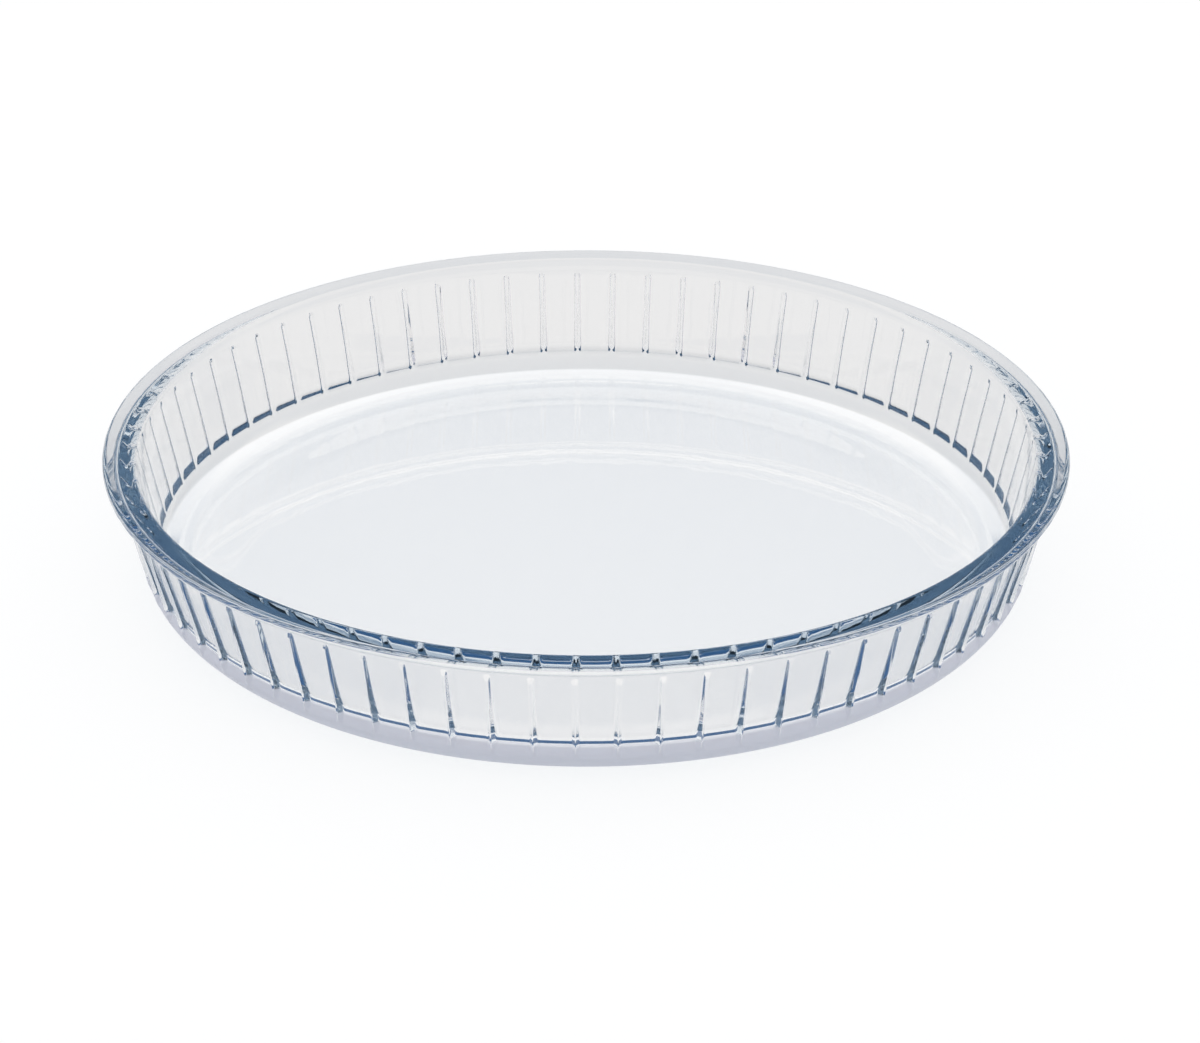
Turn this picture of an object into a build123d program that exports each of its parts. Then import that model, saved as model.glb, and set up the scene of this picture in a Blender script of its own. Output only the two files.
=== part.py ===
"""Round fluted pie dish, pressed in one piece from clear glass.

The dish stands on a shallow foot ring, opens upwards and flares to a flat rim.
Millimetres, +Z up, origin on the surface that the dish stands on, under its centre.
"""
from build123d import *
from math import cos, pi, radians, sin, tan
import os

# Overall size
rim_diameter = 280.0
dish_height = 40.0

# Rim: a flat flange with a rounded outer edge and a soft inner edge
rim_top_width = 9.3
rim_thickness = 2.6
rim_overhang = 4.2
rim_underside_slope = 14.0
rim_shoulder_radius = 2.1
rim_inner_radius = 2.6

# Wall: a plain neck under the rim, then the ribs' crests on a cone down to the bottom corner
neck_taper = 17.6
outer_wall_taper = 13.0
inner_wall_taper = 11.7
outer_corner_radius = 12.5
inner_corner_radius = 11.0

# Floor and foot ring
floor_thickness = 5.1
foot_ring_width = 7.0
foot_recess = 0.4
foot_recess_run = 14.0

# Flutes: flat panels pressed into the outside of the wall, with ribs between them, that deepen
# downwards and end in a curved scoop. Depths are level, from the cone of the ribs' crests
flute_count = 73
flute_top_drop = 5.5
flute_foot_height = 7.5
flute_top_depth = 0.7
flute_foot_depth = 2.0
flute_scoop_height = 4.8
flute_flank_slope = 31.0
neck_depth_share = 0.5
cutter_overrun_share = 0.2
foot_corner_share = 0.75
rib_top_width = 1.0
rib_foot_width = 0.3

# Places that follow from the sizes above
rim_radius = rim_diameter / 2
edge_radius = rim_thickness / 2
underside = radians(rim_underside_slope)
neck_lean = radians(neck_taper)
outer_lean = radians(outer_wall_taper)
inner_lean = radians(inner_wall_taper)
wall_top_radius = rim_radius - rim_overhang
inner_top_radius = rim_radius - rim_top_width
edge_end_radius = rim_radius - edge_radius + edge_radius * sin(underside)
edge_end_height = dish_height - edge_radius - edge_radius * cos(underside)
shoulder_height = edge_end_height - (edge_end_radius - wall_top_radius) * tan(underside)
flute_top_height = dish_height - flute_top_drop
neck_foot_radius = wall_top_radius - (shoulder_height - flute_top_height) * tan(neck_lean)
neck_depth = flute_top_depth * neck_depth_share
crest_top_radius = neck_foot_radius + neck_depth
crest_top_height = flute_top_height - neck_depth
foot_height = 0


def crest_radius(height):
    """Radius of the cone of the ribs' crests at a height above the table."""
    return crest_top_radius - (crest_top_height - height) * tan(outer_lean)


def inner_wall_radius(height):
    """Radius of the smooth inside wall at a height above the table."""
    return inner_top_radius - (dish_height - height) * tan(inner_lean)


# The foot ring starts where the bottom corner's rounding meets the table
foot_outer_radius = crest_radius(foot_height) - outer_corner_radius * tan((pi / 2 - outer_lean) / 2)
foot_inner_radius = foot_outer_radius - foot_ring_width

# The dish is turned from its half section: floor, inside wall, rim, outside wall and foot
with BuildPart() as glass_dish:
    with BuildSketch(Plane.XZ) as section:
        with BuildLine() as outline:
            inside = FilletPolyline(
                (0, floor_thickness),
                (inner_wall_radius(floor_thickness), floor_thickness),
                (inner_top_radius, dish_height),
                (rim_radius - edge_radius, dish_height),
                radius=[inner_corner_radius, rim_inner_radius],
            )
            edge = CenterArc(
                (rim_radius - edge_radius, dish_height - edge_radius),
                edge_radius,
                -90 + rim_underside_slope,
                180 - rim_underside_slope,
            )
            neck = FilletPolyline(
                edge @ 0,
                (wall_top_radius, shoulder_height),
                (neck_foot_radius, flute_top_height),
                radius=rim_shoulder_radius,
            )
            rib_end = Line(neck @ 1, (crest_top_radius, crest_top_height))
            outside = FilletPolyline(
                rib_end @ 1,
                (crest_radius(foot_height), foot_height),
                (foot_inner_radius, foot_height),
                radius=outer_corner_radius,
            )
            recess = Polyline(
                outside @ 1,
                (foot_inner_radius - foot_recess_run, foot_recess),
                (0, foot_recess),
                inside @ 0,
            )
        make_face()
    revolve(axis=Axis.Z)

# One flute's cutter is what two shapes share: a tapered block, which gives its flanks and its
# rounded corners, and a bar with the side view of its floor and its scoop
floor_top_radius = crest_radius(flute_top_height) - flute_top_depth
floor_foot_radius = crest_radius(flute_foot_height) - flute_foot_depth
floor_slope = (floor_top_radius - floor_foot_radius) / (flute_top_height - flute_foot_height)
scoop_top_height = flute_foot_height + flute_scoop_height
scoop_top_radius = floor_top_radius - (flute_top_height - scoop_top_height) * floor_slope
block_depth = flute_foot_depth * (1 + cutter_overrun_share)
block_height = block_depth + flute_foot_depth * cutter_overrun_share
flank_run = block_depth * tan(radians(flute_flank_slope))
flute_length = (flute_top_height - flute_foot_height) / cos(outer_lean)
half_pitch_share = pi / flute_count
top_half_width = crest_radius(flute_top_height) * half_pitch_share - rib_top_width / 2 - flank_run
foot_half_width = crest_radius(flute_foot_height) * half_pitch_share - rib_foot_width / 2 - flank_run
top_end = -flute_top_depth * tan(radians(flute_flank_slope))
foot_end = flank_run - flute_length
foot_corner_radius = foot_corner_share * foot_half_width
block_plane = Plane(
    origin=(
        crest_radius(flute_top_height) - block_depth * cos(outer_lean),
        0,
        flute_top_height + block_depth * sin(outer_lean),
    ),
    x_dir=(0, 1, 0),
    z_dir=(cos(outer_lean), 0, -sin(outer_lean)),
)
with BuildPart() as flute:
    with BuildSketch(block_plane):
        with BuildLine():
            sides = FilletPolyline(
                (-top_half_width, top_end),
                (-foot_half_width, foot_end),
                (foot_half_width, foot_end),
                (top_half_width, top_end),
                radius=foot_corner_radius,
            )
            Line(sides @ 1, sides @ 0)
        make_face()
    extrude(amount=block_height, taper=-flute_flank_slope)
    with BuildSketch(Plane.XZ) as side_view:
        with BuildLine():
            floor_line = Line(
                (floor_top_radius + flute_top_drop * floor_slope, dish_height),
                (scoop_top_radius, scoop_top_height),
            )
            scoop = TangentArc(
                floor_line @ 1,
                (crest_radius(flute_foot_height), flute_foot_height),
                tangent=floor_line % 1,
            )
            Polyline(
                scoop @ 1,
                (rim_radius, flute_foot_height),
                (rim_radius, dish_height),
                floor_line @ 0,
            )
        make_face()
    extrude(amount=rim_radius * half_pitch_share, both=True, mode=Mode.INTERSECT)

with glass_dish:
    with PolarLocations(0, flute_count):
        add(flute.part, mode=Mode.SUBTRACT)

glass_dish.part.label = "glass_dish"
os.makedirs("parts", exist_ok=True)
export_step(glass_dish.part, "parts/glass_dish.step")
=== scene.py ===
from math import cos, degrees, pi, radians, sin, tan

import bpy
import numpy as np
from bpy.props import FloatProperty, FloatVectorProperty, IntProperty, PointerProperty
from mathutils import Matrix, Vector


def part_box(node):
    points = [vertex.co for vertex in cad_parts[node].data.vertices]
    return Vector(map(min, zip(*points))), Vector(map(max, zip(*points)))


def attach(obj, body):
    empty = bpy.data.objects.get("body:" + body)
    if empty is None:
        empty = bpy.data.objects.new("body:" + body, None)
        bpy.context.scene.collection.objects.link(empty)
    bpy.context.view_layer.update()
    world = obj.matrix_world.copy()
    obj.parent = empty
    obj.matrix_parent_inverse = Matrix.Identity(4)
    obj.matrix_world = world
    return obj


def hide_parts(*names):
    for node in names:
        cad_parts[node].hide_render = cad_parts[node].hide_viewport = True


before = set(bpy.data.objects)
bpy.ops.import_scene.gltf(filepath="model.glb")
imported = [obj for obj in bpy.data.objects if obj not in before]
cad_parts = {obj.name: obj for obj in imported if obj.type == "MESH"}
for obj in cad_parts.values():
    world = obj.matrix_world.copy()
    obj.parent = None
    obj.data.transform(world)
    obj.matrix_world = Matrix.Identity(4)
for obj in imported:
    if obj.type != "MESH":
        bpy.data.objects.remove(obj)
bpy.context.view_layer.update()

bl_info = {
    "name": "Fluted glass pie dish",
    "version": (1, 0, 0),
    "blender": (4, 5, 0),
    "location": "3D View > Sidebar > Pie dish",
    "description": "Builds a clear pressed-glass pie dish with a fluted wall, and a pale studio for it",
    "category": "Add Mesh",
}

DISH_NODE = "glass_dish"
MM = 0.001
LOW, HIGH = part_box(DISH_NODE)

# Columns of the mesh for each flute: on the fluted wall, and on the smooth inside, rim and base
FLUTE_COLUMNS = 28
PLAIN_COLUMNS = 4

# How the wall's columns are shared out over a flute's floor, its flanks and the ribs' crests beside it
FLOOR_PART = 3
FLANK_PART = 3
CREST_PART = 1

# Points on each rounding of the half section, and how much those of the bottom corner crowd to the wall
BOWL_CORNER_STEPS = 12
RIM_INSIDE_STEPS = 9
RIM_EDGE_STEPS = 11
SHOULDER_STEPS = 7
BASE_CORNER_STEPS = 13
BASE_CORNER_CROWDING = 1.5
FOOT_SLOPE_STEPS = 8

# Shares of each straight stretch of the half section at which it has rows of its own
FLOOR_ROWS = (0.98, 0.99)
WALL_ROWS = (0.04, 0.96)
RIM_ROWS = (0.05, 0.95)
NECK_ROWS = (0.3, 0.8)
FOOT_ROWS = (0.05, 0.95)
HOLLOW_ROWS = (0.01, 0.02)

# Rows of the mesh down a flute: round the ribs' rounded ends, where their crests narrow, and at the scoops.
# The ends' rows start a little over the ribs; the reaches are times the length of an end and of a scoop
RIB_END_ROWS = 9
RIB_END_REACH = 1.3
RIB_START = -0.1 * MM
FADE_ROWS = 3
SCOOP_ROWS = 11
SCOOP_REACH = 1.05

# Slow ripples that the mould leaves in the glass: their length, detail, height and share of it that shows
RIPPLE_LENGTH = 18 * MM
RIPPLE_DETAIL = 2.0
RIPPLE_HEIGHT = 0.3 * MM
RIPPLE_STRENGTH = 0.12

# How strongly glass for baking dishes bends light, what its surface lets in of each colour, and what goes
# straight through it into its shadow
GLASS_IOR = 1.48
GLASS_LETS_IN = (0.965, 0.95, 0.94, 1.0)
GLASS_SHADOW = (0.97, 0.97, 0.97, 1.0)

# Where a pale band of painted light lies outside on the bottom corner: a near-white matt layer that stands in
# for the white table seen through the corner glass. Each pair is where the band is absent and where it is
# full: its top, its lower side by radius or by height, the flat foot by how far it faces down, and the glass's
# inside
PAINTED_BAND_TOP = (11.6 * MM, 10.8 * MM)
PAINTED_BAND_RADIUS = (125.0 * MM, 125.8 * MM)
PAINTED_BAND_LOW = (5.0 * MM, 4.8 * MM)
PAINTED_BAND_FACING = (-0.99, -0.93)
PAINTED_BAND_OUTSIDE = (0.9, 0.1)
# Share of the painted band over the clear glass, and how much of it scatters back rather than through
PAINTED_BAND_SHARE = 0.8
PAINTED_BAND_SCATTER_BACK = 0.5

# The table's half width, and the length and height of the paper's fibres, drawn coarser than real ones so
# that they show at all
TABLE_HALF = 3.0
FIBRE_LENGTH = 4 * MM
FIBRE_HEIGHT = 0.05 * MM
FIBRE_STRENGTH = 0.05

# Where the paper's blue shade lies, under the bottom corner and beside the dish, and where the dish ends.
# Each pair is where the shade is absent and where it is full: by radius, by depth towards the camera, and
# sideways from the middle
UNDER_FROM = (122.2 * MM, 123.2 * MM)
UNDER_TO = (127.9 * MM, 127.1 * MM)
UNDER_DEPTH = (15 * MM, -15 * MM)
BESIDE_FROM = (130 * MM, 132 * MM)
BESIDE_TO = (175 * MM, 150 * MM)
BESIDE_DEPTH = (10 * MM, -20 * MM)
BESIDE_WIDTH = (52 * MM, 68 * MM)
DISH_END = (129 * MM, 131 * MM)

# Where the room's bright parts lie, by the height and the depth of a direction of length 1. Each pair is
# where a part is absent and where it is full
LIGHT_LOW = (0.50, 0.62)
LIGHT_HIGH = (0.97, 0.90)
LIGHT_DEPTH = (0.1, 0.3)
SCREENS_HEIGHT = (0.34, 0.20)
SCREENS_DEPTH = (0.35, 0.05)
ROOM_BRIGHT = (0.92, 0.92, 0.92, 1.0)
WHITE = (1.0, 1.0, 1.0, 1.0)

SENSOR_WIDTH = 36.0
LIGHT_BOUNCES = 32


def size(name, description, default):
    """A length property in metres, given in millimetres."""
    return FloatProperty(name=name, description=description, default=default * MM, unit="LENGTH", min=0.0)


def linear(hex_colour):
    """An sRGB hex colour such as "#7F9FBF" as linear red, green, blue and alpha."""
    srgb = np.array([int(hex_colour[i:i + 2], 16) for i in (1, 3, 5)]) / 255
    low = srgb / 12.92
    high = ((srgb + 0.055) / 1.055) ** 2.4
    return (*np.where(srgb <= 0.04045, low, high), 1.0)


def colour(name, description, hex_colour):
    """A colour property, given as an sRGB hex colour."""
    return FloatVectorProperty(
        name=name, description=description, default=linear(hex_colour)[:3], subtype="COLOR", size=3,
    )


class DishSizes(bpy.types.PropertyGroup):
    """The pressed dish's own sizes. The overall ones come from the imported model."""

    rim_radius: FloatProperty(
        name="Rim radius", description="Outside radius of the rim",
        default=(HIGH.x - LOW.x + HIGH.y - LOW.y) / 4, unit="LENGTH",
    )
    height: FloatProperty(
        name="Height", description="From the table to the top of the rim",
        default=HIGH.z - LOW.z, unit="LENGTH",
    )
    rim_width: size("Rim width", "Width of the rim's flat top, up to its inner corner", 9.3)
    rim_thickness: size("Rim thickness", "Thickness of the rim at its rounded outer edge", 2.6)
    rim_overhang: size("Rim overhang", "How far the rim stands out over the neck below it", 4.2)
    rim_softness: size("Inner edge radius", "Rounding where the rim turns down into the dish", 2.6)
    shoulder_radius: size("Shoulder radius", "Fillet under the rim", 2.1)
    floor_thickness: size("Floor thickness", "Glass between the floor and the table", 5.1)
    outer_corner: size("Outer corner radius", "Rounding of the bottom corner outside", 12.5)
    inner_corner: size("Inner corner radius", "Rounding of the bottom corner inside", 11.0)
    foot_width: size("Foot ring width", "Flat ring that the dish stands on", 7.0)
    foot_recess: size("Foot recess", "Depth of the hollow inside the foot ring", 0.4)
    foot_run: size("Foot run", "Width of the slope from the foot ring up to the recess", 14.0)
    flute_drop: size("Flute drop", "From the rim's top down to the ribs' top ends", 5.5)
    flute_base: size("Flute base height", "Height of the flutes' bottom edge over the table", 7.5)
    depth_top: size("Flute depth, top", "How far the ribs stand out near their top", 0.7)
    depth_foot: size("Flute depth, foot", "How far the ribs stand out near their foot", 2.0)
    rib_top: size("Rib width, top", "Width of a rib's crest at its top", 1.0)
    rib_foot: size("Rib width, foot", "Width of a rib's crest where it is sharp, further down", 0.12)
    flank_top: size("Flank width, top", "Width of the slope from a rib down to the flute near its top", 0.5)
    flank_foot: size("Flank width, foot", "Width of the slope from a rib down to the flute near its foot", 1.3)
    ramp_top: size("Rib end", "Length of a rib's rounded top end", 1.5)
    ramp_foot: size("Foot ramp", "Length of the scoop at a flute's bottom edge", 5.0)
    rib_fade: FloatProperty(
        name="Rib fade", description="Share of the flutes' length over which a rib's crest narrows",
        default=0.53, min=0.01, max=1.0,
    )
    taper: FloatProperty(
        name="Outer taper", description="Lean of the ribs' crests from upright",
        default=radians(13.0), subtype="ANGLE",
    )
    neck_taper: FloatProperty(
        name="Neck taper", description="Lean of the plain neck between the rim and the ribs",
        default=radians(17.6), subtype="ANGLE",
    )
    inner_taper: FloatProperty(
        name="Inner taper", description="Lean of the wall's inside from upright",
        default=radians(11.7), subtype="ANGLE",
    )
    underside_slope: FloatProperty(
        name="Rim underside slope", description="Fall of the rim's underside towards the wall",
        default=radians(14.0), subtype="ANGLE",
    )
    flutes: IntProperty(name="Flutes", description="Number of flutes round the wall", default=73, min=3)


class GlassLook(bpy.types.PropertyGroup):
    """Colours of the pressed glass."""

    tint: colour("Tint", "Colour that light takes on where it runs a long way through the glass", "#85B2CC")
    tint_strength: FloatProperty(
        name="Tint strength", description="How fast the tint deepens along the light's way, per metre",
        default=8.0, min=0.0,
    )
    # Painted light: near-white colour of the band on the bottom corner, standing in for the white table seen
    # through the glass
    painted_band_colour: colour("Painted band colour", "Colour of the bottom corner, which the mould leaves matt", "#F8F5FB")


class StudioSettings(bpy.types.PropertyGroup):
    """Camera, paper and room, at the photograph's viewing angle."""

    camera_back: FloatProperty(
        name="Camera distance", description="Level distance from the dish's axis to the camera",
        default=0.99913, unit="LENGTH",
    )
    camera_up: FloatProperty(
        name="Camera height", description="Height of the camera over the table",
        default=0.51804, unit="LENGTH",
    )
    camera_pitch: FloatProperty(
        name="Camera pitch", description="How far the camera looks down",
        default=0.4688, subtype="ANGLE",
    )
    focal_length: FloatProperty(
        name="Focal length", description="Lens length for a 36 mm wide sensor", default=114.2,
    )
    view_shift: FloatProperty(
        name="Sideways shift", description="Lens shift, as a share of the picture's width", default=0.0116,
    )
    table_colour: FloatVectorProperty(
        name="Table colour", description="Colour of the paper under the dish",
        default=(0.80, 0.80, 0.80), subtype="COLOR", size=3,
    )
    shade_colour: colour("Shade colour", "Colour of the shade on the paper, seen only in the glass", "#336395")
    room_colour: colour("Room colour", "Colour of the dim room that the glass mirrors and bends", "#6F8AA5")
    table_gap: size("Table gap", "Air that stays under the foot ring, as glass never lies quite flat", 0.15)
    table_lift: FloatProperty(
        name="Table lift", description="Brightness added to the paper where the camera sees it", default=0.24,
    )
    lift_under: FloatProperty(
        name="Lift under the dish",
        description="Brightness added to the paper under the dish, where it is seen in the glass",
        default=0.37,
    )
    lift_around: FloatProperty(
        name="Lift round the dish",
        description="Brightness added to the paper round the dish, where it is seen in the glass",
        default=0.13,
    )


def node(tree, kind, links=None, **settings):
    """Adds a shader node: settings are its attributes or its sockets' values, links its input sockets."""
    new = tree.nodes.new(kind)
    for name, value in settings.items():
        if name in new.bl_rna.properties:
            setattr(new, name, value)
        else:
            new.inputs[name.replace("_", " ")].default_value = value
    for name, source in (links or {}).items():
        socket = new.inputs[name] if isinstance(name, int) else new.inputs[name.replace("_", " ")]
        tree.links.new(source, socket)
    return new


def arc(centre_r, centre_z, radius, start, end, steps, crowding=1.0):
    """Points on a circle's arc in the half section, from the start angle to the end angle. Crowding over 1
    brings them closer together near the start."""
    turn = np.radians(start + (end - start) * np.linspace(0, 1, steps) ** crowding)
    return np.stack([centre_r + radius * np.cos(turn), centre_z + radius * np.sin(turn)], 1)


def spaced(start, end, shares):
    """Points on the straight line from start to end, at the given shares of its length."""
    shares = np.asarray(shares, float)[:, None]
    return np.asarray(start) * (1 - shares) + np.asarray(end) * shares


def half_section(s):
    """The dish's half section as rows of (radius, height) in three groups: up the inside, over the rim and down
    its plain neck; from there down the line of the ribs' crests and round the bottom corner; and from the foot
    ring to the middle of the base. The two ends of the ribs come last.

    Straight stretches join arcs that touch them: an arc starts radius * tan(half its turn) from the corner
    where its two lines would meet. A row close to each arc keeps the flat stretch beside it flat. The slope
    from the foot ring up to the hollow rises by 3 t^2 - 2 t^3, with t from 0 to 1 over its width."""
    tilt = degrees(s.inner_taper)
    touch = tan((pi / 2 - s.inner_taper) / 2)
    top_corner = s.rim_radius - s.rim_width
    floor_edge = top_corner - (s.height - s.floor_thickness) * tan(s.inner_taper) - s.inner_corner * touch
    rim_start = top_corner + s.rim_softness * touch
    bowl_hub = (floor_edge, s.floor_thickness + s.inner_corner)
    bowl_corner = arc(*bowl_hub, s.inner_corner, -90, -tilt, BOWL_CORNER_STEPS)
    rim_hub = (rim_start, s.height - s.rim_softness)
    rim_inside = arc(*rim_hub, s.rim_softness, 180 - tilt, 90, RIM_INSIDE_STEPS)

    edge = s.rim_thickness / 2
    fall = degrees(s.underside_slope)
    rim_outside = arc(s.rim_radius - edge, s.height - edge, edge, 90, fall - 90, RIM_EDGE_STEPS)
    wall_top = s.rim_radius - s.rim_overhang
    shoulder = rim_outside[-1][1] - (rim_outside[-1][0] - wall_top) * tan(s.underside_slope)
    turn = pi / 2 - s.underside_slope - s.neck_taper
    hub = np.array([wall_top, shoulder]) + s.shoulder_radius * np.array([
        cos(s.neck_taper) - tan(turn / 2) * sin(s.neck_taper),
        -sin(s.neck_taper) - tan(turn / 2) * cos(s.neck_taper),
    ])
    fillet = arc(*hub, s.shoulder_radius, 90 + fall, 180 - degrees(s.neck_taper), SHOULDER_STEPS)
    flute_height = s.height - s.flute_drop
    neck_foot = np.array([wall_top - (shoulder - flute_height) * tan(s.neck_taper), flute_height])
    over_rim = np.concatenate([
        spaced((0, s.floor_thickness), (floor_edge, s.floor_thickness), FLOOR_ROWS),
        bowl_corner,
        spaced(bowl_corner[-1], rim_inside[0], WALL_ROWS),
        rim_inside,
        spaced(rim_inside[-1], rim_outside[0], RIM_ROWS),
        rim_outside,
        fillet,
        spaced(fillet[-1], neck_foot, NECK_ROWS),
    ])

    flute_top = neck_foot + s.depth_top * np.array([cos(s.taper), -sin(s.taper)])
    flute_foot = flute_top - (flute_top[1] - s.flute_base) * np.array([tan(s.taper), 1])
    length = np.linalg.norm(flute_foot - flute_top)
    foot_edge = flute_top[0] - flute_top[1] * tan(s.taper) - s.outer_corner * tan((pi / 2 - s.taper) / 2)
    base_hub = (foot_edge, s.outer_corner)
    base_corner = arc(
        *base_hub, s.outer_corner, -degrees(s.taper), -90, BASE_CORNER_STEPS, BASE_CORNER_CROWDING,
    )
    wall_end = np.linalg.norm(base_corner[0] - flute_top) / length
    scoop_start = 1 - s.ramp_foot * SCOOP_REACH / length
    near_top = np.linspace(RIB_START, s.ramp_top * RIB_END_REACH, RIB_END_ROWS) / length
    fade = np.linspace(near_top[-1], s.rib_fade, FADE_ROWS)[1:]
    near_foot = np.linspace(scoop_start, wall_end, SCOOP_ROWS)[:-1]
    outside = np.concatenate([
        spaced(flute_top, flute_foot, np.concatenate([near_top, fade, near_foot])),
        base_corner,
    ])

    ring_edge = (foot_edge - s.foot_width, 0)
    run = np.linspace(0, 1, FOOT_SLOPE_STEPS)
    recess = np.stack([ring_edge[0] - s.foot_run * run, s.foot_recess * run**2 * (3 - 2 * run)], 1)
    underside = np.concatenate([
        spaced(base_corner[-1], ring_edge, FOOT_ROWS),
        recess,
        spaced(recess[-1], (0, s.foot_recess), HOLLOW_ROWS),
    ])
    return over_rim, outside, underside, flute_top, flute_foot


def flute_hollow(across, along, half_floor, flank, length, s):
    """How deep the wall lies under the ribs' crests, at distances across a flute and along it from its top.

    Climb is 0 on a flute's floor and 1 on a rib's crest. In the upper half a rib starts from the plain neck with
    a rounded end: its height is 1 less the root of summed squares of what its flank and its end lack. In the
    lower half the flute ends in a scoop: its depth is 1 less the root of summed squares of the climb up its
    flank and up its foot. Both are shares of a full depth that grows evenly from the top to the foot."""
    climb = np.clip((np.abs(across) - half_floor) / flank, 0, 1)
    end = np.clip(1 - along / s.ramp_top, 0, 1)
    scoop = np.clip(1 - (length - along) / s.ramp_foot, 0, 1) ** 2
    share = np.where(
        along < length / 2,
        np.minimum(np.sqrt((1 - climb) ** 2 + end**2), 1),
        1 - np.minimum(np.sqrt(climb**2 + scoop**2), 1),
    )
    down = np.clip(along / length, 0, 1)
    return (s.depth_top * (1 - down) + s.depth_foot * down) * share


def fluted_columns(rows, flute_top, flute_foot, s):
    """For each row of the wall, every column's angle round the axis and the wall's depth under the crests.

    The columns are shared out over the flute's floor, its two flanks and half of each rib's crest beside it,
    evenly on each. They follow the ribs, whose crests narrow and whose flanks widen downwards."""
    length = np.linalg.norm(flute_foot - flute_top)
    along = (rows - flute_top) @ (flute_foot - flute_top) / length
    down = np.clip(along / length, 0, 1)[:, None]
    wall_radius = flute_top[0] * (1 - down) + flute_foot[0] * down
    half_pitch = pi * wall_radius / s.flutes
    crest = s.rib_top + (s.rib_foot - s.rib_top) * np.minimum(down / s.rib_fade, 1)
    flank = s.flank_top * (1 - down) + s.flank_foot * down
    half_floor = half_pitch - crest / 2 - flank
    share = (np.arange(FLUTE_COLUMNS) + 0.5) / FLUTE_COLUMNS * 2 - 1
    part = np.abs(share) * (FLOOR_PART + FLANK_PART + CREST_PART)
    across = np.sign(share) * (
        half_floor * np.minimum(part / FLOOR_PART, 1)
        + flank * np.clip((part - FLOOR_PART) / FLANK_PART, 0, 1)
        + crest / 2 * np.clip((part - FLOOR_PART - FLANK_PART) / CREST_PART, 0, 1)
    )
    depth = flute_hollow(across, along[:, None], half_floor, flank, length, s)
    turn = 2 * pi / s.flutes * np.arange(s.flutes)[None, :, None]
    angle = (turn + (across / wall_radius)[:, None, :]).reshape(len(rows), -1)
    return angle, np.tile(depth, s.flutes)


def turned(rows, angle, depth, s):
    """Points of a half section's rows turned to each column's angle, moved into the wall by the flute's depth
    along the wall's normal."""
    radius = rows[:, :1] - depth * cos(s.taper)
    height = rows[:, 1:] + depth * sin(s.taper) + 0 * angle
    return np.stack([radius * np.cos(angle), radius * np.sin(angle), height], -1)


def strip(first, first_count, second, second_count):
    """Faces between two neighbouring rings, each given by its first point's number and its count of points.
    Where one ring is finer, a face takes one step of the coarse ring and several of the fine one."""
    count = min(first_count, second_count)
    step = np.arange(count)[:, None]
    side = [
        start + (step * (total // count) + np.arange(total // count + 1)) % total
        for start, total in ((first, first_count), (second, second_count))
    ]
    return np.concatenate([side[1], side[0][:, ::-1]], 1).tolist()


def dish_skin(s):
    """Points and faces of the dish's closed skin: rings round the axis, many columns to a flute on the wall and
    few on the smooth inside, rim and base, closed in the middle by a flat face each."""
    over_rim, outside, underside, flute_top, flute_foot = half_section(s)
    angle, depth = fluted_columns(outside, flute_top, flute_foot, s)
    thin = FLUTE_COLUMNS // PLAIN_COLUMNS
    grids = (
        turned(over_rim, angle[:1, ::thin], 0, s),
        turned(outside, angle, depth, s),
        turned(underside, angle[-1:, ::thin], 0, s),
    )
    counts = [len(ring) for grid in grids for ring in grid]
    starts = np.concatenate([[0], np.cumsum(counts)])
    faces = [np.arange(counts[0]).tolist(), np.arange(starts[-1] - 1, starts[-2] - 1, -1).tolist()]
    for one in range(len(counts) - 1):
        faces += strip(starts[one], counts[one], starts[one + 1], counts[one + 1])
    return np.concatenate([grid.reshape(-1, 3) for grid in grids]), faces


def mesh_piece(name, points, faces, material):
    """A smooth mesh object from points and faces."""
    mesh = bpy.data.meshes.new(name)
    mesh.from_pydata(points, [], faces)
    mesh.materials.append(material)
    mesh.shade_smooth()
    piece = bpy.data.objects.new(name, mesh)
    bpy.context.scene.collection.objects.link(piece)
    return piece


def either(tree, *sockets):
    """The largest of some values."""
    result = sockets[0]
    for socket in sockets[1:]:
        result = node(tree, "ShaderNodeMath", {0: result, 1: socket}, operation="MAXIMUM").outputs[0]
    return result


def ramp(tree, value, low, high):
    """0 below low and 1 above high, with a smooth step between them; low may be the larger one."""
    step = node(tree, "ShaderNodeMapRange", {"Value": value}, interpolation_type="SMOOTHSTEP")
    step.inputs["From Min"].default_value = low
    step.inputs["From Max"].default_value = high
    return step.outputs["Result"]


def product(tree, *sockets):
    """The product of some values."""
    result = sockets[0]
    for socket in sockets[1:]:
        result = node(tree, "ShaderNodeMath", {0: result, 1: socket}, operation="MULTIPLY").outputs[0]
    return result


def scaled(tree, value, factor):
    """A value times a fixed factor."""
    result = node(tree, "ShaderNodeMath", {0: value}, operation="MULTIPLY")
    result.inputs[1].default_value = factor
    return result.outputs[0]


def level_radius(tree, place):
    """Distance from the dish's upright axis."""
    level = node(tree, "ShaderNodeVectorMath", {0: place.outputs["Object"]}, operation="MULTIPLY")
    level.inputs[1].default_value = (1, 1, 0)
    return node(tree, "ShaderNodeVectorMath", {0: level.outputs["Vector"]}, operation="LENGTH").outputs["Value"]


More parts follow.
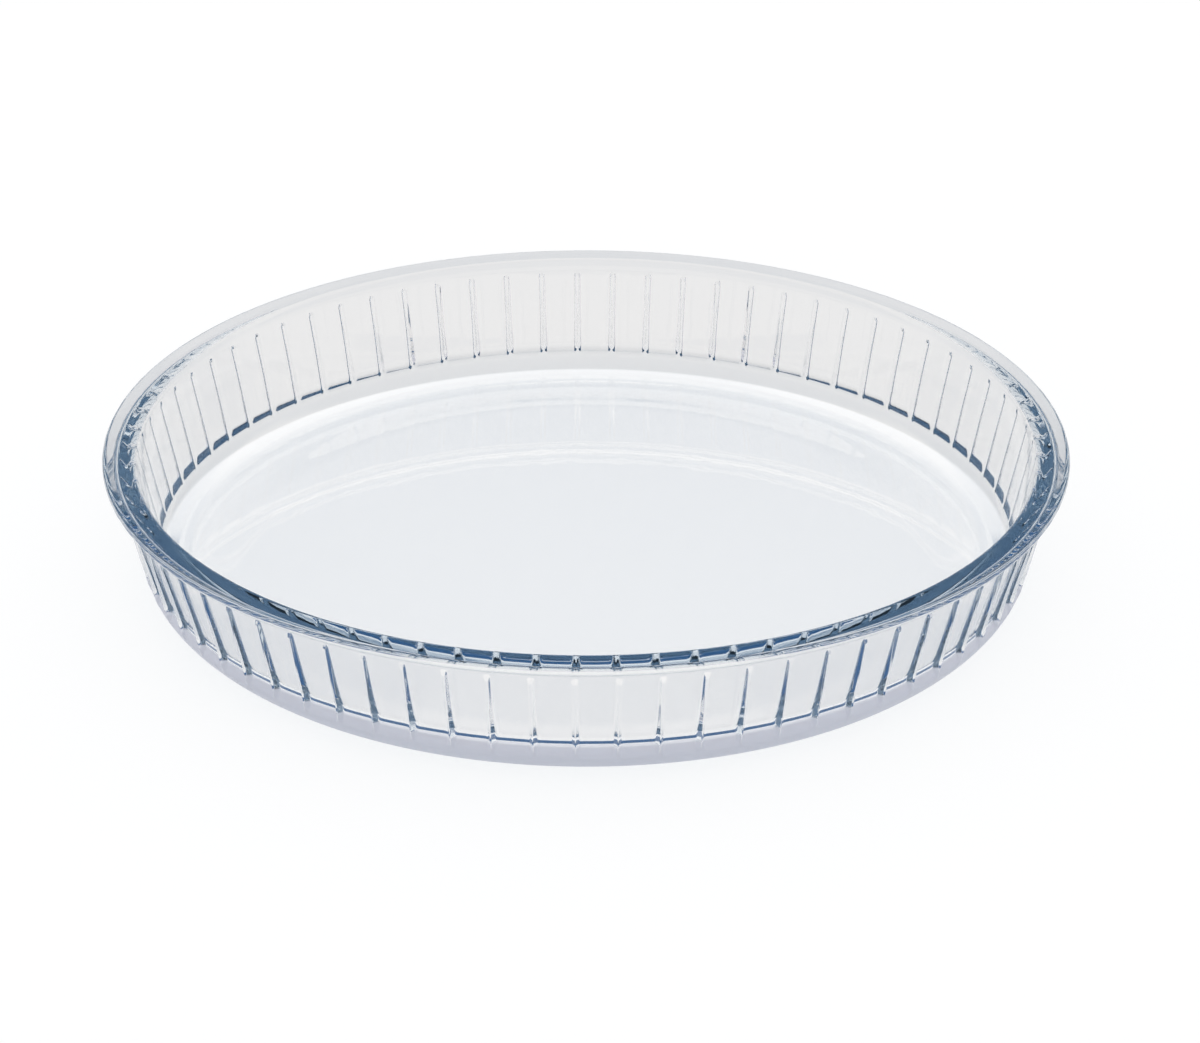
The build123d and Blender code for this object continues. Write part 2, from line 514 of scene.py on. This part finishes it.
def pressed_glass(look):
    """Clear pressed glass, fire-polished: glossy, with slow ripples left by the mould and a blue cast that
    only shows where light runs a long way through the glass, as in the rim and the ribs. Outside, the bottom
    corner carries painted light: a pale lilac band drawn as a near-white matt layer, standing in for the white
    table seen through the corner glass. Light on its way to the table goes straight through, so the dish's
    shadow stays faint."""
    material = bpy.data.materials.new("clear_pressed_glass")
    material.use_nodes = True
    tree = material.node_tree
    tree.nodes.clear()
    place = node(tree, "ShaderNodeTexCoord")
    ripple = node(
        tree, "ShaderNodeTexNoise", {"Vector": place.outputs["Object"]},
        Scale=1 / RIPPLE_LENGTH, Detail=RIPPLE_DETAIL,
    )
    bump = node(
        tree, "ShaderNodeBump", {"Height": ripple.outputs["Fac"]},
        Strength=RIPPLE_STRENGTH, Distance=RIPPLE_HEIGHT,
    )
    glass = node(
        tree, "ShaderNodeBsdfPrincipled", {"Normal": bump.outputs["Normal"]},
        Base_Color=GLASS_LETS_IN, Transmission_Weight=1.0, IOR=GLASS_IOR, Roughness=0.0,
    )
    # Painted light: a near-white matt layer on the bottom corner, in place of the white table seen through the
    # glass
    painted_band_colour = (*look.painted_band_colour, 1)
    through = node(tree, "ShaderNodeBsdfTranslucent", Color=painted_band_colour)
    back = node(tree, "ShaderNodeBsdfDiffuse", Color=painted_band_colour)
    matt = node(
        tree, "ShaderNodeMixShader", {1: through.outputs[0], 2: back.outputs[0]}, Fac=PAINTED_BAND_SCATTER_BACK,
    )
    height = node(tree, "ShaderNodeSeparateXYZ", {"Vector": place.outputs["Object"]}).outputs["Z"]
    facing = node(tree, "ShaderNodeSeparateXYZ", {"Vector": place.outputs["Normal"]}).outputs["Z"]
    radius = level_radius(tree, place)
    inwards = node(tree, "ShaderNodeNewGeometry").outputs["Backfacing"]
    # Mask of the painted band: outside, below its top, low down or far out, and not on the flat foot
    corner = product(
        tree,
        ramp(tree, height, *PAINTED_BAND_TOP),
        either(tree, ramp(tree, height, *PAINTED_BAND_LOW), ramp(tree, radius, *PAINTED_BAND_RADIUS)),
        ramp(tree, facing, *PAINTED_BAND_FACING),
        ramp(tree, inwards, *PAINTED_BAND_OUTSIDE),
    )
    share = scaled(tree, corner, PAINTED_BAND_SHARE)
    body = node(tree, "ShaderNodeMixShader", {0: share, 1: glass.outputs["BSDF"], 2: matt.outputs[0]})
    tint = node(tree, "ShaderNodeVolumeAbsorption", Color=(*look.tint, 1), Density=look.tint_strength)
    path = node(tree, "ShaderNodeLightPath").outputs
    unbent = either(tree, path["Is Shadow Ray"], path["Is Diffuse Ray"])
    clear = node(tree, "ShaderNodeBsdfTransparent", Color=GLASS_SHADOW)
    surface = node(tree, "ShaderNodeMixShader", {0: unbent, 1: body.outputs[0], 2: clear.outputs[0]})
    node(
        tree, "ShaderNodeOutputMaterial",
        {"Surface": surface.outputs[0], "Volume": tint.outputs["Volume"]},
    )
    return material


def table_paper(settings):
    """Matt white paper. The camera sees it lifted to plain white, with the dish's shadow on it. In the glass it
    is lifted by one amount under the dish and by another round it. Rays that come through the glass also see
    a blue shade on it, in a ring under the front of the bottom corner and in two patches beside the dish at the
    front, and this is what makes the front rim and the ribs' edges dark."""
    material = bpy.data.materials.new("matt_white_paper")
    material.use_nodes = True
    tree = material.node_tree
    tree.nodes.clear()
    place = node(tree, "ShaderNodeTexCoord")
    fibre = node(tree, "ShaderNodeTexNoise", {"Vector": place.outputs["Object"]}, Scale=1 / FIBRE_LENGTH)
    bump = node(
        tree, "ShaderNodeBump", {"Height": fibre.outputs["Fac"]},
        Strength=FIBRE_STRENGTH, Distance=FIBRE_HEIGHT,
    )
    path = node(tree, "ShaderNodeLightPath").outputs
    radius = level_radius(tree, place)
    across = node(tree, "ShaderNodeSeparateXYZ", {"Vector": place.outputs["Object"]}).outputs
    sideways = node(tree, "ShaderNodeMath", {0: across["X"]}, operation="ABSOLUTE").outputs[0]
    under = product(
        tree, ramp(tree, radius, *UNDER_FROM), ramp(tree, radius, *UNDER_TO),
        ramp(tree, across["Y"], *UNDER_DEPTH),
    )
    beside = product(
        tree, ramp(tree, radius, *BESIDE_FROM), ramp(tree, radius, *BESIDE_TO),
        ramp(tree, sideways, *BESIDE_WIDTH), ramp(tree, across["Y"], *BESIDE_DEPTH),
    )
    shade = product(tree, either(tree, under, beside), path["Is Transmission Ray"])
    tone = node(tree, "ShaderNodeMix", {"Factor": shade}, data_type="RGBA")
    tone.inputs["A"].default_value = (*settings.table_colour, 1)
    tone.inputs["B"].default_value = (*settings.shade_colour, 1)
    paper = node(
        tree, "ShaderNodeBsdfDiffuse", {"Normal": bump.outputs["Normal"], "Color": tone.outputs["Result"]},
    )
    in_glass = node(tree, "ShaderNodeMapRange", {"Value": ramp(tree, radius, *DISH_END)})
    in_glass.inputs["To Min"].default_value = settings.lift_under
    in_glass.inputs["To Max"].default_value = settings.lift_around
    bent = either(tree, path["Is Glossy Ray"], path["Is Transmission Ray"])
    unshaded = ramp(tree, shade, 1, 0)
    lift = either(
        tree, scaled(tree, path["Is Camera Ray"], settings.table_lift),
        product(tree, bent, in_glass.outputs["Result"], unshaded),
    )
    glow = node(tree, "ShaderNodeEmission", {"Strength": lift})
    both = node(tree, "ShaderNodeAddShader", {0: paper.outputs[0], 1: glow.outputs[0]})
    node(tree, "ShaderNodeOutputMaterial", {"Surface": both.outputs[0]})
    return material


def studio_world(settings):
    """Even white light on every matt surface, and a plain white view for the camera. What the glass mirrors and
    bends is a dim blue room with a large soft light high up at the back and white screens low round the
    front and sides."""
    world = bpy.data.worlds.new("soft_studio")
    bpy.context.scene.world = world
    world.use_nodes = True
    tree = world.node_tree
    tree.nodes.clear()
    path = node(tree, "ShaderNodeLightPath").outputs
    towards = node(tree, "ShaderNodeTexCoord").outputs["Generated"]
    axes = node(tree, "ShaderNodeSeparateXYZ", {"Vector": towards}).outputs
    back_light = product(
        tree, ramp(tree, axes["Z"], *LIGHT_LOW), ramp(tree, axes["Z"], *LIGHT_HIGH),
        ramp(tree, axes["Y"], *LIGHT_DEPTH),
    )
    screens = product(tree, ramp(tree, axes["Z"], *SCREENS_HEIGHT), ramp(tree, axes["Y"], *SCREENS_DEPTH))
    bright = either(tree, back_light, screens)
    room = node(tree, "ShaderNodeMix", {"Factor": bright}, data_type="RGBA")
    room.inputs["A"].default_value = (*settings.room_colour, 1)
    room.inputs["B"].default_value = ROOM_BRIGHT
    plain = either(tree, path["Is Camera Ray"], path["Diffuse Depth"])
    view = node(tree, "ShaderNodeMix", {"Factor": plain, "A": room.outputs["Result"]}, data_type="RGBA")
    view.inputs["B"].default_value = WHITE
    light = node(tree, "ShaderNodeBackground", {"Color": view.outputs["Result"]}, Strength=1.0)
    node(tree, "ShaderNodeOutputWorld", {"Surface": light.outputs[0]})
    return world


class DISH_OT_glass_dish(bpy.types.Operator):
    """Add the pie dish: one closed skin of clear pressed glass"""

    bl_idname = "dish.glass_dish"
    bl_label = "Glass dish"

    def execute(self, context):
        points, faces = dish_skin(context.scene.dish_sizes)
        piece = mesh_piece("pressed_glass_dish", points, faces, pressed_glass(context.scene.dish_glass))
        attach(piece, "root")
        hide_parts(DISH_NODE)
        return {"FINISHED"}


class DISH_OT_studio(bpy.types.Operator):
    """Add the white table, the soft surround and the camera at the photograph's angle"""

    bl_idname = "dish.studio"
    bl_label = "Studio"

    def execute(self, context):
        settings = context.scene.dish_studio
        half = TABLE_HALF
        low = -settings.table_gap
        corners = np.array([(-half, -half, low), (half, -half, low), (half, half, low), (-half, half, low)])
        table = bpy.data.meshes.new("table_top")
        table.from_pydata(corners, [], [(0, 1, 2, 3)])
        table.materials.append(table_paper(settings))
        top = bpy.data.objects.new("table_top", table)
        context.scene.collection.objects.link(top)
        studio_world(settings)
        lens = bpy.data.cameras.new("photo_camera")
        lens.sensor_width = SENSOR_WIDTH
        lens.lens = settings.focal_length
        lens.shift_x = settings.view_shift
        camera = bpy.data.objects.new("photo_camera", lens)
        camera.location = (0, -settings.camera_back, settings.camera_up)
        camera.rotation_euler = (pi / 2 - settings.camera_pitch, 0, 0)
        context.scene.collection.objects.link(camera)
        context.scene.camera = camera
        context.scene.view_settings.view_transform = "Standard"
        for kind in ("max_bounces", "transmission_bounces", "glossy_bounces", "transparent_max_bounces"):
            setattr(context.scene.cycles, kind, LIGHT_BOUNCES)
        return {"FINISHED"}


class DISH_PT_panel(bpy.types.Panel):
    """Lists the dish's operators in the 3D view's sidebar"""

    bl_label = "Pie dish"
    bl_space_type = "VIEW_3D"
    bl_region_type = "UI"
    bl_category = "Pie dish"

    def draw(self, context):
        for operator in (DISH_OT_glass_dish, DISH_OT_studio):
            self.layout.operator(operator.bl_idname)


CLASSES = (DishSizes, GlassLook, StudioSettings, DISH_OT_glass_dish, DISH_OT_studio, DISH_PT_panel)


def register():
    """Registers the classes and hangs the three groups of settings on the scene."""
    for one in CLASSES:
        bpy.utils.register_class(one)
    bpy.types.Scene.dish_sizes = PointerProperty(type=DishSizes)
    bpy.types.Scene.dish_glass = PointerProperty(type=GlassLook)
    bpy.types.Scene.dish_studio = PointerProperty(type=StudioSettings)


def unregister():
    """Takes the settings and the classes away again."""
    del bpy.types.Scene.dish_sizes
    del bpy.types.Scene.dish_glass
    del bpy.types.Scene.dish_studio
    for one in reversed(CLASSES):
        bpy.utils.unregister_class(one)


def main():
    """Builds the dish and its studio."""
    register()
    bpy.ops.dish.glass_dish()
    bpy.ops.dish.studio()


if __name__ == "__main__":
    main()
